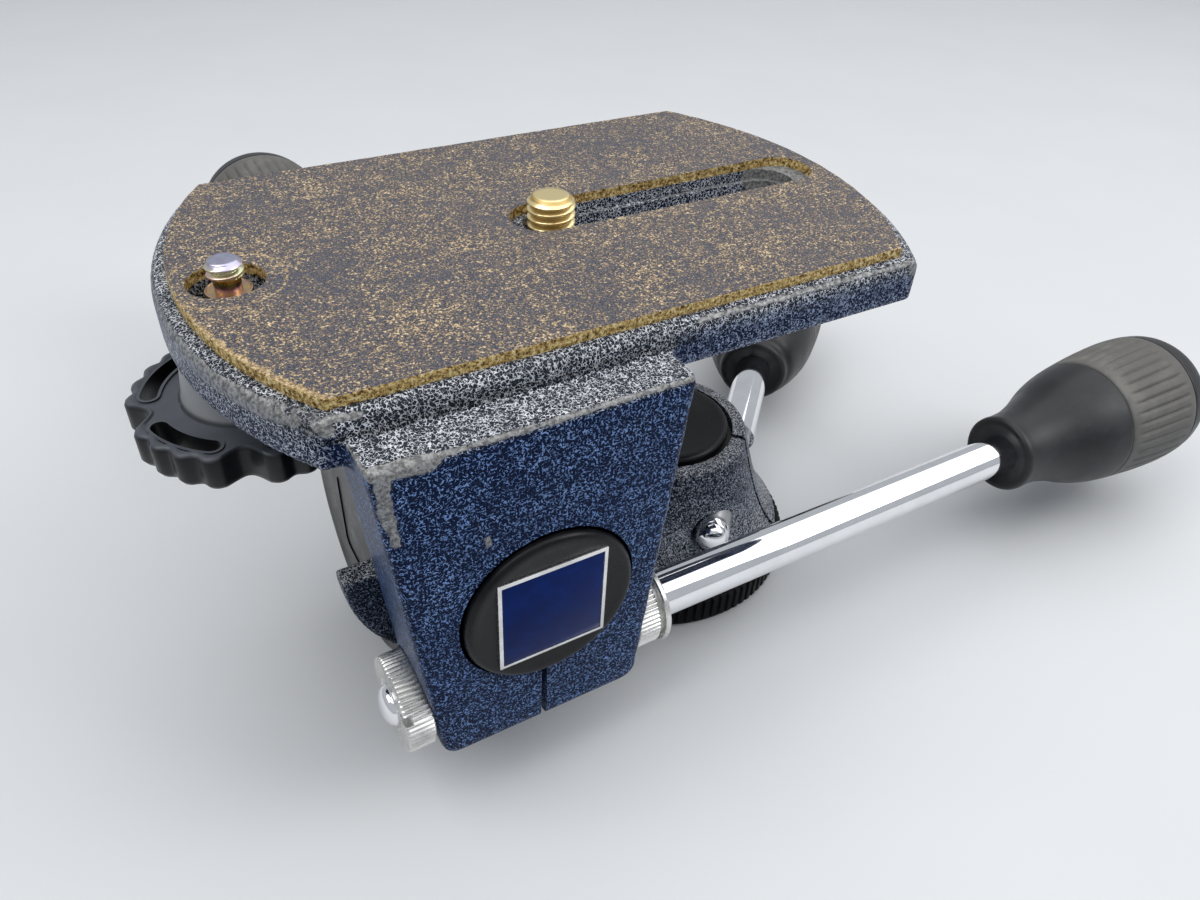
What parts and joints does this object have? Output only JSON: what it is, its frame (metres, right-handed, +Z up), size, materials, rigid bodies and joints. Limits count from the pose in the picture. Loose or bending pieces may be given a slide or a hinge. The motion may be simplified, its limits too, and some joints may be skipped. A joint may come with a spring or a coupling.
{
  "type": "three way pan and tilt head",
  "caption": "Tripod head that pans and tilts two ways, with a long cork-topped platform, sliding camera screws and clamp handles with rubber grips.",
  "frame": {"origin": "centre of the base disc's underside, at the mouth of the tripod thread", "axes": "+Z up along the pan axis, +X along the camera platform towards the end of its long slot, +Y away from the tilt arm"},
  "size_m": [0.2628, 0.2092, 0.1044],
  "materials": {
    "hammertone": "dark blue hammertone enamel with pale veins",
    "black_enamel": "satin black",
    "black_plastic": "satin black moulding",
    "black_rubber": "satin black rubber",
    "grey_rubber": "ribbed grey rubber",
    "cork_rubber": "worn cork and rubber with tan flecks",
    "chrome": "bright chrome",
    "nickel": "bright nickel plate",
    "steel": "turned steel",
    "dark_steel": "blackened steel",
    "brass": "worn brass",
    "zinc_plate": "iridescent yellow zinc plate",
    "bearing_plastic": "pale low-friction plastic",
    "blue_enamel": "plain dark blue enamel with a bright edge"
  },
  "bodies": {
    "base": {"base_disc": "black_enamel", "tripod_bush": "brass", "base_screws": "steel", "pan_spindle": "steel", "pan_retaining_disc": "steel", "pan_retaining_screw": "dark_steel"},
    "pan_body": {"pan_housing": "hammertone", "pan_thrust_washer": "bearing_plastic", "pan_cap": "black_plastic", "dome_nut": "chrome", "side_axle": "steel", "side_friction_washer": "bearing_plastic", "side_retaining_disc": "steel", "side_retaining_screw": "dark_steel"},
    "pan_handle": {"pan_clamp_bolt": "steel", "pan_handle_rod": "chrome", "pan_handle_grip": "black_rubber", "pan_handle_band": "grey_rubber"},
    "tilt_frame": {"tilt_body": "hammertone", "side_cap": "black_plastic", "tilt_spigot": "steel", "tilt_friction_washer": "bearing_plastic", "spigot_retaining_disc": "steel", "spigot_retaining_screw": "dark_steel"},
    "side_handle": {"side_clamp_bolt": "steel", "side_handle_rod": "chrome", "side_handle_grip": "black_rubber", "side_handle_band": "grey_rubber"},
    "platform": {"platform": "hammertone", "cork_pad": "cork_rubber", "front_cap": "black_plastic", "badge_plate": "blue_enamel"},
    "tilt_handle": {"tilt_clamp_bolt": "nickel", "knurled_collar": "nickel", "tilt_handle_rod": "chrome", "tilt_handle_grip": "black_rubber", "tilt_handle_band": "grey_rubber"},
    "clamp_nut": {"knurled_nut": "nickel"},
    "large_slider": {"large_screw_washer": "steel"},
    "large_screw": {"large_camera_screw": "brass", "large_screw_knob": "black_plastic"},
    "small_slider": {"small_screw_clip": "zinc_plate"},
    "small_screw": {"small_camera_screw": "zinc_plate", "star_knob": "black_plastic"}
  },
  "joints": [
    {"name": "pan", "type": "hinge", "parent": "base", "child": "pan_body", "pos_m": [0, 0, 0.02], "axis": [0, 0, 1], "continuous": true},
    {"name": "side_tilt", "type": "hinge", "parent": "pan_body", "child": "tilt_frame", "pos_m": [-0.057, 0, 0.033], "axis": [1, 0, 0], "range_deg": [-90, 8]},
    {"name": "tilt", "type": "hinge", "parent": "tilt_frame", "child": "platform", "pos_m": [-0.0596, -0.043, 0.053], "axis": [0, 1, 0], "range_deg": [-75, 10]},
    {"name": "pan_lock", "type": "hinge", "parent": "pan_body", "child": "pan_handle", "pos_m": [0.02687, 0.00141, 0.0225], "axis": [0.7071, 0.7071, 0], "range_deg": [-15, 270]},
    {"name": "side_lock", "type": "hinge", "parent": "tilt_frame", "child": "side_handle", "pos_m": [-0.0616, 0.026, 0.05], "axis": [0, 1, 0], "range_deg": [-15, 270]},
    {"name": "tilt_lock", "type": "hinge", "parent": "platform", "child": "tilt_handle", "pos_m": [-0.038, -0.043, 0.03], "axis": [1, 0, 0], "range_deg": [-15, 270]},
    {"name": "nut_turn", "type": "hinge", "parent": "platform", "child": "clamp_nut", "pos_m": [-0.0824, -0.043, 0.03], "axis": [-1, 0, 0], "continuous": true},
    {"name": "large_slide", "type": "slide", "parent": "platform", "child": "large_slider", "axis": [1, 0, 0], "range_m": [0, 0.053]},
    {"name": "large_spin", "type": "hinge", "parent": "large_slider", "child": "large_screw", "pos_m": [-0.0327, -0.0006, 0.08], "axis": [0, 0, 1], "continuous": true},
    {"name": "small_slide", "type": "slide", "parent": "platform", "child": "small_slider", "axis": [1, 0, 0], "range_m": [-0.0013, 0.0013]},
    {"name": "small_spin", "type": "hinge", "parent": "small_slider", "child": "small_screw", "pos_m": [-0.0943, -0.0006, 0.08], "axis": [0, 0, 1], "continuous": true}
  ]
}
